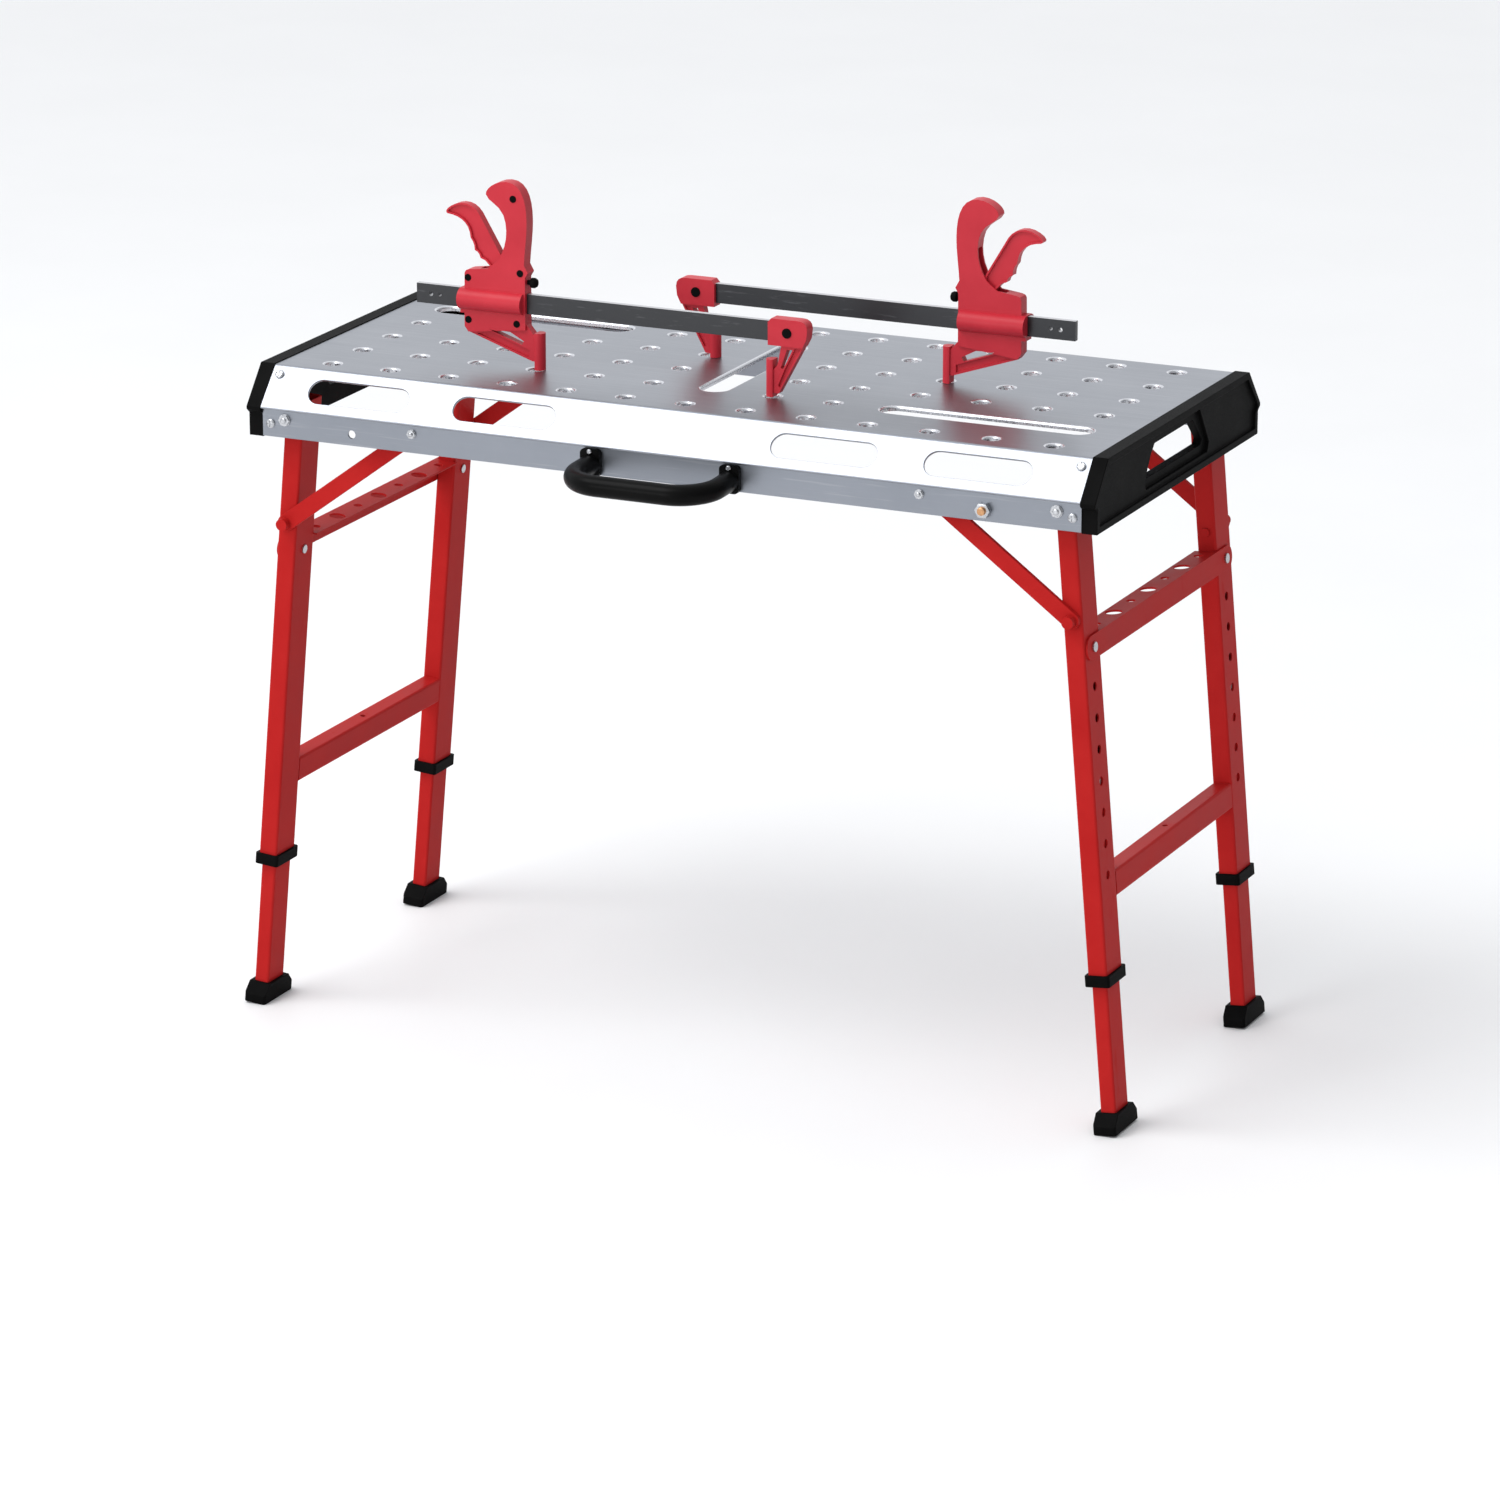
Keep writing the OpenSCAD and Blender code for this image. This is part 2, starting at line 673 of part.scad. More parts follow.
module left_front_button() leg_button(-1, -1);
module left_rear_button() leg_button(-1, 1);
module right_front_button() leg_button(1, -1);
module right_rear_button() leg_button(1, 1);

// ---------- clamps ----------

module clamp_bar(front) color(bar_grey) in_clamp(front) difference() {
    translate([bar_end - bar_l, -bar_t / 2, bar_z - bar_h / 2]) cube([bar_l, bar_t, bar_h]);
    for (h = [[16, 2.2], [26, 1.6]]) y_pin(bar_end - bar_l + h[0], bar_z, h[1], -bar_t, bar_t);
    y_pin(jaw_pin_x, bar_z, jaw_pin_r, -bar_t, bar_t);
}

module front_clamp_bar() clamp_bar(true);
module rear_clamp_bar() clamp_bar(false);

// A jaw's post: round on the work side, with a flat back towards x > 0
module post() intersection() {
    cylinder(r = post_r, h = post_h);
    translate([-2 * post_r, -post_r, 0]) cube([2 * post_r + post_back, 2 * post_r, post_h]);
}

// Fixed jaw: block on the bar's end, slanting arm and post
module fixed_jaw(front) color(clamp_red) in_clamp(front) difference() {
    union() {
        xz_slab(-jaw_t / 2, jaw_t / 2) polygon(concat(
            [[-2.5, 52.5], [-2.5, 75.5], [1, 79.5], [29, 79.5]],
            curve([[29, 79.5], [36, 79.5], [39.6, 77], [39.8, 70]], 4),
            [[38.8, 61], [34.5, 52.5]]
        ));
        xz_slab(-arm_t, arm_t) polygon([[11, 53], [34.8, 53], [8.4, 4], [0, 4], [0, 24], [7, 33]]);
        post();
    }
    translate([-4, -bar_t / 2, bar_z - bar_h / 2]) cube([bar_end + 4, bar_t, bar_h]);
    y_pin(jaw_pin_x, bar_z, jaw_pin_r, -jaw_t, jaw_t);
    jaw_heads();
    xz_slab(-10, 10) polygon([[17, 49], [23, 49], [13, 29], [10.5, 30]]);
    for (y = [-arm_t - cut, arm_t - core])
        xz_slab(y, y + core + cut)
            polygon([[31.5, 50.5], [9.5, 10], [7.6, 12], [14.6, 28.6], [25.5, 50.5]]);
}

module front_clamp_fixed_jaw() fixed_jaw(true);
module rear_clamp_fixed_jaw() fixed_jaw(false);

// Heads of the jaw's cross screw, on both faces of the block
module jaw_heads()
    for (y = [-2, 1]) y_pin(jaw_pin_x, bar_z, jaw_head_r, y * jaw_head_t, (y + 1) * jaw_head_t);

module clamp_jaw_screw(front) color(black) in_clamp(front) {
    y_pin(jaw_pin_x, bar_z, jaw_pin_r, -jaw_head_t - cut, jaw_head_t + cut);
    jaw_heads();
}

module front_clamp_jaw_screw() clamp_jaw_screw(true);
module rear_clamp_jaw_screw() clamp_jaw_screw(false);

// Outline of the head with its grip, drawn round from the lower left corner
function head_outline() = concat(
    [[-75.4, 32.5], [-79.6, 38], [-79.6, 51.5], [-84.3, 51.5], [-84.3, 77], [-79.2, 77], [-79, 92.5]],
    curve([[-79, 92.5], [-79, 96], [-74, 96.5], [-70, 97]], 3),
    [[-53, 99.2], [-42, 108]],
    curve([[-42, 108], [-32, 122], [-29, 140], [-35, 155]]),
    curve([[-35, 155], [-40, 166], [-52, 167], [-54.2, 174.5]], 4),
    curve([[-54.2, 174.5], [-55, 180], [-44, 188.8], [-32, 189]]),
    curve([[-32, 189], [-12, 189.2], [-8, 165], [-9.6, 140]], 8),
    curve([[-9.6, 140], [-10.6, 126], [-12, 118], [-12.8, 106]], 3),
    [[-8.6, 98.4], [-11.8, 93], [-11.8, 40]]
);

// One half shell of the clamp head, for y < 0
module head_half(screwed) difference() {
    union() {
        xz_slab(-head_t, 0) polygon(head_outline());
        intersection() {
            x_pin(-5, bar_z, 11, -84.3, -14);
            translate([-90, -20, 0]) cube([90, 20, 120]);
        }
        xz_slab(-arm_t, 0) polygon([
            [-79.6, 38.5], [-75.4, 32], [-5.6, 8.5], [0, 8.5], [0, 31], [-11.8, 45]
        ]);
        intersection() {
            mirror([1, 0, 0]) post();
            translate([-10, -10, 0]) cube([20, 10, 40]);
        }
    }
    translate([-90, -bar_t / 2 - slide_gap, bar_z - bar_slot / 2]) cube([90, bar_t, bar_slot]);
    xz_slab(-head_hollow, 1) polygon([[-62, 88], [-20, 88], [-20, 110], [-21, 140], [-62, 140]]);
    translate([-66, -head_hollow, 48]) cube([16, head_hollow + cut, 46]);
    xz_slab(-5, 1) polygon([[-55, 37], [-30, 36], [-15, 28], [-17, 24]]);
    xz_slab(-20, 1) polygon([[-52, 37.2], [-30, 34.5], [-16, 27.5], [-19, 25.5]]);
    xz_slab(-arm_t - cut, core - arm_t)
        polygon([[-67, 31.2], [-8.8, 11.7], [-8.8, 19.6], [-20, 23.4], [-52, 34.4]]);
    x_pin(0, knob_z, knob_r + 0.1, -24, 0);
    for (p = head_screw_points()) {
        y_pin(p[0], p[1], shell_screw_r, screwed ? -20 : -head_hollow, 1);
        if (screwed) y_pin(p[0], p[1], shell_head_r, -20, -head_seat);
    }
}

function head_screw_points() = [
    [-24.2, 172.2], [-75.2, 88], [-17.2, 97.4], [-75.2, 45], [-21.4, 45.5]
];

module head_shell(front, half) color(clamp_red) in_head(front) difference() {
    mirror([0, half, 0]) head_half(half == 0);
    if (half == 0) y_pin(trigger_pivot[0], trigger_pivot[1], trigger_pin_r, -head_seat - 1, 0);
}

module front_clamp_head_front() head_shell(true, 0);
module front_clamp_head_back() head_shell(true, 1);
module rear_clamp_head_front() head_shell(false, 0);
module rear_clamp_head_back() head_shell(false, 1);

// Shell screws, and the trigger's pivot pin held between the shells
module clamp_head_screws(front) color(black) in_head(front) {
    for (p = head_screw_points()) {
        y_pin(p[0], p[1], shell_screw_r, -head_seat - 1, head_hollow);
        y_pin(p[0], p[1], shell_head_r, -head_t - 0.6, -head_seat);
    }
    y_pin(trigger_pivot[0], trigger_pivot[1], trigger_pin_r, -head_seat - 1, head_hollow);
}

module front_clamp_head_screws() clamp_head_screws(true);
module rear_clamp_head_screws() clamp_head_screws(false);

// Outline of the trigger with its finger grooves
function trigger_outline() = concat(
    [[-47, 92], [-51.5, 101], [-57, 106.5], [-62.2, 108.5]],
    curve([[-62.2, 108.5], [-63, 113], [-65.5, 115], [-68.5, 116]], 3),
    curve([[-68.5, 116], [-68.5, 121], [-70, 125], [-73, 128]], 3),
    curve([[-73, 128], [-73.5, 134], [-75, 139], [-79, 143]], 3),
    curve([[-79, 143], [-84, 148], [-91, 150], [-98, 150.5]], 4),
    curve([[-98, 150.5], [-101.5, 151], [-101, 155], [-94, 159]], 4),
    curve([[-94, 159], [-82, 166], [-70, 163], [-63.4, 153.2]]),
    [[-40.5, 115], [-36, 104], [-35.5, 97], [-38, 92]]
);

module clamp_trigger(front) color(clamp_red) in_head(front) difference() {
    xz_slab(gap - head_hollow, head_hollow - gap) polygon(trigger_outline());
    y_pin(trigger_pivot[0], trigger_pivot[1], trigger_pin_r + run, -10, 10);
    for (y = [-head_hollow, head_hollow - gap - core]) difference() {
        xz_slab(y, y + core + gap) polygon(drawn_in(trigger_outline(), -trigger_rim));
        y_pin(trigger_pivot[0], trigger_pivot[1], 2 * trigger_pin_r, -10, 10);
    }
}

module front_clamp_trigger() clamp_trigger(true);
module rear_clamp_trigger() clamp_trigger(false);

// Steel plate that grips the bar when the trigger is squeezed
module clamp_drive_plate(front) color(bright) in_head(front) difference() {
    translate([-60, slide_gap - head_hollow, 50]) cube([3.5, 2 * (head_hollow - slide_gap), 37]);
    translate([-70, -bar_t / 2 - slide_gap, bar_z - bar_slot / 2])
        cube([20, bar_t + 2 * slide_gap, bar_slot]);
}

module front_clamp_drive_plate() clamp_drive_plate(true);
module rear_clamp_drive_plate() clamp_drive_plate(false);

// Push knob that releases the head from the bar
module clamp_release_knob(front) color(black) in_head(front) {
    x_pin(0, knob_z, knob_r, -18, -8);
    translate([-8.4, 0, knob_z]) rotate([0, 90, 0]) rotate_extrude() polygon([
        [0, 0], [4.4, 0], [5.2, 1.2], [5.2, 4.2], [4, 6.4], [2, 7.4], [0, 7.7]
    ]);
}

module front_clamp_release_knob() clamp_release_knob(true);
module rear_clamp_release_knob() clamp_release_knob(false);

// ---------- drawing ----------

top_plate();
front_rail();
rear_rail();
left_end_cap();
right_end_cap();
cap_screws();
pivot_bolts();
brace_guides();
guide_bolts();
ground_stud();
carry_handle();
handle_screws();
left_front_leg();
left_rear_leg();
left_tool_rail();
left_cross_tube();
left_rail_rivets();
left_leg_collars();
left_brace_pins();
right_front_leg();
right_rear_leg();
right_tool_rail();
right_cross_tube();
right_rail_rivets();
right_leg_collars();
right_brace_pins();
left_front_brace();
left_rear_brace();
right_front_brace();
right_rear_brace();
left_front_inner_leg();
left_rear_inner_leg();
right_front_inner_leg();
right_rear_inner_leg();
left_front_foot();
left_rear_foot();
right_front_foot();
right_rear_foot();
left_front_button();
left_rear_button();
right_front_button();
right_rear_button();
front_clamp_bar();
front_clamp_fixed_jaw();
front_clamp_jaw_screw();
front_clamp_head_front();
front_clamp_head_back();
front_clamp_head_screws();
front_clamp_trigger();
front_clamp_drive_plate();
front_clamp_release_knob();
rear_clamp_bar();
rear_clamp_fixed_jaw();
rear_clamp_jaw_screw();
rear_clamp_head_front();
rear_clamp_head_back();
rear_clamp_head_screws();
rear_clamp_trigger();
rear_clamp_drive_plate();
rear_clamp_release_knob();
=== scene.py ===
"""Folding welding table with two bar clamps.

Materials, finer shells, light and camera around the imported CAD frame. Lengths are in metres.
"""
import json
import math

import bmesh
import bpy
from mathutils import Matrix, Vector
from mathutils.geometry import delaunay_2d_cdt


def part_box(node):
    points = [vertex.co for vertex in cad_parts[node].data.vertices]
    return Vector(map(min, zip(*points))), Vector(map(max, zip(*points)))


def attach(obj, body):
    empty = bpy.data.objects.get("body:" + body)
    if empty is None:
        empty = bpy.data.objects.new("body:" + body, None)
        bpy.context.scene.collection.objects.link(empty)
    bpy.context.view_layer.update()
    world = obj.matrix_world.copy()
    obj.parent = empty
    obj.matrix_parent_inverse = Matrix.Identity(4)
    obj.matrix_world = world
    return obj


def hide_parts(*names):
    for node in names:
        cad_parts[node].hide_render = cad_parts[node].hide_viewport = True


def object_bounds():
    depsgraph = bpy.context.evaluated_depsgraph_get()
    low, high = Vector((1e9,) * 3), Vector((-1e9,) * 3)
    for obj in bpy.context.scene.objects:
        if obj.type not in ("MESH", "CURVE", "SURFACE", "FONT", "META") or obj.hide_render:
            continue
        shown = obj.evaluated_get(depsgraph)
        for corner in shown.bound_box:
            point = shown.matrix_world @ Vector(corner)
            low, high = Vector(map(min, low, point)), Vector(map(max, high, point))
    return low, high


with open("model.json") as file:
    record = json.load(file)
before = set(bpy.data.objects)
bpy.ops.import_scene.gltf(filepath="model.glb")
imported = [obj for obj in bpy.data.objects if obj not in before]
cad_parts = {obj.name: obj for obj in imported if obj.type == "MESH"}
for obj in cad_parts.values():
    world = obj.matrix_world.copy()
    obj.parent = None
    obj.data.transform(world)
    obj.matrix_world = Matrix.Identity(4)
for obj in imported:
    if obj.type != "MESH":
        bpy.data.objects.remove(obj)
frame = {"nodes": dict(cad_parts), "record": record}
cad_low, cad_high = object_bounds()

NODES = frame["nodes"]
BODY_OF = {node: body for body, nodes in frame["record"]["behaviour"]["bodies"].items() for node in nodes}
SLOT_OF = {part["node"]: part["material_slot"] for part in frame["record"]["subparts"]}
RAILS = ("front_rail", "rear_rail")
OPEN_FACED = ("_end_cap", "_fixed_jaw")
MM = 0.001

# Clean copies of CAD meshes: points closer than WELD are one, and faces within COPLANAR are one plane.
WELD = 0.01 * MM
COPLANAR = math.radians(0.6)

# Edges sharper than SHARP are rounded, and smooth shading breaks at those sharper than a crease.
# Each row of SOFT_EDGES is the endings of some node names, their rounding and its segments.
SHARP = math.radians(35.0)
CREASE = math.radians(40.0)
SHEET_CREASE = math.radians(34.0)
RAIL_SOFT = 0.5 * MM
RAIL_SHORTEST = 300.0 * MM
SOFT_EDGES = (
    (("_head_front", "_head_back"), 0.9 * MM, 3),
    (("_trigger", "_fixed_jaw"), 0.7 * MM, 3),
    (("_end_cap",), 1.6 * MM, 3),
    (("_foot", "_collars", "_release_knob"), 1.0 * MM, 2),
    (("_clamp_bar", "_drive_plate", "_brace", "_tool_rail"), 0.4 * MM, 2),
    (("_bolts", "_screws", "_screw", "_rivets", "_pins", "_guides", "_button"), 0.3 * MM, 2),
    (("_handle",), 0.8 * MM, 2),
)

# Top sheet. Holes and slots stand on a grid, which is counted from the middle of the work surface.
# Each long slot takes the place of the holes of its row from column SLOT_FROM outwards.
FLAT_HALF = 186.3 * MM
SLOPE_DOWN = 37.3 * MM
SHEET = 3.0 * MM
BEND = 5.0 * MM
PITCH_X, PITCH_Y = 65.0 * MM, 64.0 * MM
HOLE_COLUMNS = range(-6, 7)
HOLE_ROWS = (-2.5, -1.5, -0.5, 0.5, 1.5, 2.5)
HOLE_WIDTH = 16.0 * MM
SLOT_LENGTH, CROSS_SLOT_LENGTH, SLOT_WIDTH = 222.0 * MM, 210.0 * MM, 29.0 * MM
SLOT_COLUMN, SLOT_ROW, SLOT_FROM = 4.5, 1.5, 3
WINDOW_LENGTH, WINDOW_HEIGHT = 112.0 * MM, 27.0 * MM
WINDOW_X = [x * MM for x in (-338.5, -177.0, 168.0, 329.5)]

# Edges of its openings: a rim is rolled down round each hole and slot, and the windows are plain cuts.
RIM_ROLL, RIM_DROP, RIM_WALL, RIM_LIP = 2.4 * MM, 2.4 * MM, 5.0 * MM, 0.3 * MM
CUT_SOFT = 0.7 * MM
ARC_STEPS, BEND_STEPS, END_STEPS = 6, 5, 16
SHEET_WELD = 0.001 * MM

# Earth stud: all within STUD_REACH of its axis is brass, and the nuts are steel. STUD_SHARP is in radians.
STUD_REACH = 4.3 * MM
STUD_SOFT = 0.5 * MM
STUD_SHARP = 0.6

# Texture stretches, in waves a metre along each axis.
ROLLING_LINES = (6.0, 900.0, 900.0)
SHEET_SCRATCHES = (14.0, 420.0, 420.0)
COAT_SCUFFS = (60.0, 60.0, 16.0)
BAR_LINES = (10.0, 1400.0, 1400.0)
BAR_WEAR = (30.0, 260.0, 260.0)

# Numbers of the colour sockets of a Mix node.
MIX_FIRST, MIX_SECOND, MIX_RESULT = 6, 7, 2

# Studio. The camera looks at CAMERA_AIM, which is measured from the middle of the work surface; its angles
# are in degrees, and its lens and sensor in millimetres.
FLOOR_HALF = 9.0
WORLD_COLOUR, WORLD_STRENGTH = (0.96, 0.975, 1.0), 1.12
WORLD_DARK_SIDE, WORLD_DARK_FROM = 0.30, 0.9
CAMERA_AIM = Vector((0.0227, -0.0582, -0.3797))
CAMERA_AZIMUTH, CAMERA_ELEVATION = 24.83, 17.05
CAMERA_DISTANCE = 6.970
CAMERA_LENS, CAMERA_SENSOR = 166.4, 36.0


# ---------- shader nodes ----------

def set_range(node, low, high, floor, top):
    """Makes a Map Range node take low..high to floor..top."""
    for socket, value in zip(("From Min", "From Max", "To Min", "To Max"), (low, high, floor, top)):
        node.inputs[socket].default_value = value


class Shader:
    """A material with one Principled shader and short calls for the nodes that feed it."""

    def __init__(self, name, **sockets):
        self.material = bpy.data.materials.new(name)
        self.material.use_nodes = True
        self.tree = self.material.node_tree
        self.shader = self.tree.nodes["Principled BSDF"]
        for socket, value in sockets.items():
            self.shader.inputs[socket.replace("_", " ")].default_value = value
        self.place = self.tree.nodes.new("ShaderNodeTexCoord").outputs["Object"]

    def node(self, kind, **settings):
        made = self.tree.nodes.new(kind)
        for key, value in settings.items():
            setattr(made, key, value)
        return made

    def link(self, source, target):
        self.tree.links.new(source, target)

    def stretched(self, scale):
        mapping = self.node("ShaderNodeMapping")
        mapping.inputs["Scale"].default_value = scale
        self.link(self.place, mapping.inputs["Vector"])
        return mapping.outputs["Vector"]

    def noise(self, scale=1.0, detail=3.0, roughness=0.5, stretch=None):
        made = self.node("ShaderNodeTexNoise")
        made.inputs["Scale"].default_value = scale
        made.inputs["Detail"].default_value = detail
        made.inputs["Roughness"].default_value = roughness
        self.link(self.stretched(stretch) if stretch else self.place, made.inputs["Vector"])
        return made.outputs["Fac"]

    def spread(self, source, low=0.3, high=0.7, floor=0.0, top=1.0):
        """Maps source from low..high to floor..top, clamped; most of a noise lies within the defaults."""
        made = self.node("ShaderNodeMapRange")
        set_range(made, low, high, floor, top)
        self.link(source, made.inputs["Value"])
        return made.outputs["Result"]

    def mix(self, share, first, second):
        """Blends two colours, each a tuple or an output."""
        made = self.node("ShaderNodeMix", data_type="RGBA")
        self.link(share, made.inputs["Factor"])
        for socket, value in ((made.inputs[MIX_FIRST], first), (made.inputs[MIX_SECOND], second)):
            if isinstance(value, tuple):
                socket.default_value = (*value, 1.0)
            else:
                self.link(value, socket)
        return made.outputs[MIX_RESULT]

    def add_share(self, source, share, base):
        """The output base, raised by a share of the output source."""
        made = self.node("ShaderNodeMath", operation="MULTIPLY_ADD")
        self.link(source, made.inputs[0])
        made.inputs[1].default_value = share
        self.link(base, made.inputs[2])
        return made.outputs[0]

    def colour(self, output):
        self.link(output, self.shader.inputs["Base Color"])

    def roughness(self, output):
        self.link(output, self.shader.inputs["Roughness"])

    def bump(self, *layers):
        """Each layer is (height output, strength, distance in metres)."""
        normal = None
        for height, strength, distance in layers:
            made = self.node("ShaderNodeBump")
            made.inputs["Strength"].default_value = strength
            made.inputs["Distance"].default_value = distance
            self.link(height, made.inputs["Height"])
            if normal:
                self.link(normal, made.inputs["Normal"])
            normal = made.outputs["Normal"]
        self.link(normal, self.shader.inputs["Normal"])


# ---------- materials ----------

def sheet_steel(name, dark, light, worn):
    """Satin sheet steel: faint rolling lines along the table, soft mottling and fine scratches."""
    m = Shader(name, Metallic=1.0)
    lines = m.noise(detail=4.0, roughness=0.6, stretch=ROLLING_LINES)
    mottle = m.noise(9.0, detail=4.0, roughness=0.55)
    scratch = m.spread(m.noise(detail=2.0, stretch=SHEET_SCRATCHES), 0.62, 0.74)
    base = m.mix(m.spread(mottle), dark, light)
    m.colour(m.mix(m.spread(scratch, 0.0, 1.0, top=0.35), base, worn))
    m.roughness(m.spread(lines, 0.25, 0.75, floor=0.30, top=0.42))
    m.bump((lines, 0.10, 0.0003), (mottle, 0.05, 0.0006))
    return m.material


def plated_steel(name, dark, light, relief):
    """Zinc-plated fasteners, with a slight crystalline mottle; a much lighter copy on the rims of the work
    surface is a painted highlight.
    """
    m = Shader(name, Metallic=1.0)
    crystal = m.noise(420.0, roughness=0.6)
    m.colour(m.mix(m.spread(crystal), dark, light))
    m.roughness(m.spread(crystal, floor=0.20, top=0.36))
    m.bump((crystal, relief, 0.0002))
    return m.material


def powder_coat(name, deep, light):
    """Semi-gloss powder coat with fine orange peel and a little handling wear."""
    m = Shader(name, IOR=1.5, Specular_IOR_Level=0.035)
    peel = m.noise(620.0, detail=2.0)
    cloud = m.noise(14.0, detail=4.0, roughness=0.6)
    scuff = m.spread(m.noise(detail=5.0, roughness=0.62, stretch=COAT_SCUFFS), 0.63, 0.72)
    m.colour(m.mix(m.spread(cloud), deep, light))
    m.roughness(m.add_share(scuff, 0.14, m.spread(cloud, floor=0.34, top=0.44)))
    m.bump((peel, 0.16, 0.0004), (cloud, 0.05, 0.001))
    return m.material


def moulded_plastic(name, deep, light, grain, roughness, relief, sheen):
    """Moulded plastic with a spark-eroded grain; roughness is its lowest and highest value."""
    m = Shader(name, IOR=1.48, Specular_IOR_Level=sheen)
    pits = m.noise(grain, roughness=0.6)
    cloud = m.noise(22.0)
    m.colour(m.mix(m.spread(cloud), deep, light))
    m.roughness(m.spread(pits, floor=roughness[0], top=roughness[1]))
    m.bump((pits, relief, 0.0004))
    return m.material


def bar_steel(name):
    """Black-oxide flat bar with drawn lines along its length and a painted highlight that lightens the faces
    that point up.
    """
    m = Shader(name, Metallic=0.75)
    lines = m.noise(detail=4.0, roughness=0.6, stretch=BAR_LINES)
    worn = m.spread(m.noise(detail=4.0, roughness=0.6, stretch=BAR_WEAR), 0.60, 0.80)
    # Painted highlight: faces that point up are blended towards pale steel, as if the bar's top caught the
    # light.
    facing = m.node("ShaderNodeSeparateXYZ")
    m.link(m.node("ShaderNodeNewGeometry").outputs["Normal"], facing.inputs[0])
    painted_top_highlight = m.spread(facing.outputs["Z"], 0.35, 0.75, top=0.85)
    oxide = m.mix(m.spread(worn, 0.0, 1.0, top=0.5), (0.045, 0.046, 0.049), (0.17, 0.17, 0.18))
    m.colour(m.mix(painted_top_highlight, oxide, (0.62, 0.62, 0.64)))
    m.roughness(m.spread(lines, 0.25, 0.75, floor=0.28, top=0.42))
    m.bump((lines, 0.10, 0.0002))
    return m.material


def earth_brass(name):
    """Copper-plated stud, slightly tarnished."""
    m = Shader(name, Metallic=1.0)
    tarnish = m.noise(260.0, detail=4.0, roughness=0.6)
    m.colour(m.mix(m.spread(tarnish, 0.35, 0.7), (0.62, 0.34, 0.17), (0.40, 0.22, 0.12)))
    m.roughness(m.spread(tarnish, floor=0.24, top=0.42))
    m.bump((tarnish, 0.1, 0.0002))
    return m.material


def floor_paint():
    m = Shader("floor_paint")
    speck = m.noise(3.0)
    m.colour(m.mix(m.spread(speck), (0.88, 0.88, 0.88), (0.90, 0.90, 0.90)))
    m.roughness(m.spread(speck, floor=0.55, top=0.65))
    return m.material


LOOKS = {
    "table_steel": (sheet_steel, {
        "dark": (0.285, 0.30, 0.333), "light": (0.318, 0.333, 0.366), "worn": (0.44, 0.45, 0.48)}),
    # The rails are the top sheet's own steel, darkened here as painted shade.
    "rail_steel": (sheet_steel, {
        "dark": (0.235, 0.252, 0.285), "light": (0.262, 0.279, 0.313), "worn": (0.36, 0.375, 0.405)}),
    "bright_steel": (plated_steel, {"dark": (0.40, 0.41, 0.43), "light": (0.56, 0.57, 0.59), "relief": 0.12}),
    # The rims are the top sheet's own steel, painted much lighter as a highlight round each hole and slot.
    "rim_steel": (plated_steel, {"dark": (0.60, 0.61, 0.64), "light": (0.70, 0.71, 0.74), "relief": 0.03}),
    "leg_red": (powder_coat, {"deep": (0.40, 0.012, 0.012), "light": (0.45, 0.017, 0.016)}),
    "clamp_red": (moulded_plastic, {
        "deep": (0.48, 0.020, 0.034), "light": (0.54, 0.026, 0.042),
        "grain": 900.0, "roughness": (0.34, 0.46), "relief": 0.10, "sheen": 0.22}),
    "black_plastic": (moulded_plastic, {
        "deep": (0.003, 0.003, 0.003), "light": (0.006, 0.006, 0.006),
        "grain": 1100.0, "roughness": (0.40, 0.58), "relief": 0.30, "sheen": 0.02}),
    "black_grip": (moulded_plastic, {
        "deep": (0.002, 0.002, 0.002), "light": (0.004, 0.004, 0.004),
        "grain": 700.0, "roughness": (0.26, 0.38), "relief": 0.12, "sheen": 0.06}),
    "bar_steel": (bar_steel, {}),
    "earth_brass": (earth_brass, {}),
}
FINISH = {name: make(name, **look) for name, (make, look) in LOOKS.items()}


def finish_of(node):
    """The finish that a node shows: its slot's, but the rails get a darker copy of the top sheet's steel as
    painted shade.
    """
    return "rail_steel" if node in RAILS else SLOT_OF[node]


def paint(obj, finish):
    obj.data.materials.clear()
    obj.data.materials.append(FINISH[finish])


def paint_nodes():
    for node, obj in NODES.items():
        paint(obj, finish_of(node))


# ---------- mesh helpers ----------

def link_object(obj):
    bpy.context.scene.collection.objects.link(obj)


def as_piece(obj, node, finish):
    """Puts obj in place of a CAD node, on the same body."""
    link_object(obj)
    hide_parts(node)
    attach(obj, BODY_OF[node])
    paint(obj, finish)
    return obj


def to_object(shell, name):
    mesh = bpy.data.meshes.new(name)
    shell.to_mesh(mesh)
    shell.free()
    return bpy.data.objects.new(name, mesh)


def shade(shell, crease):
    """Smooth shading, broken at edges sharper than crease."""
    for face in shell.faces:
        face.smooth = True
    for edge in shell.edges:
        edge.smooth = edge.is_manifold and edge.calc_face_angle(0.0) < crease


def bake(obj):
    """Puts the object's modifiers into its mesh."""
    bpy.context.view_layer.update()
    view = bpy.context.evaluated_depsgraph_get()
    mesh = bpy.data.meshes.new_from_object(obj.evaluated_get(view), depsgraph=view)
    obj.modifiers.clear()
    obj.data = mesh


def weight_normals(obj):
    """Lets large flat faces keep their normals."""
    modifier = obj.modifiers.new("weights", "WEIGHTED_NORMAL")
    modifier.keep_sharp = True
    bake(obj)


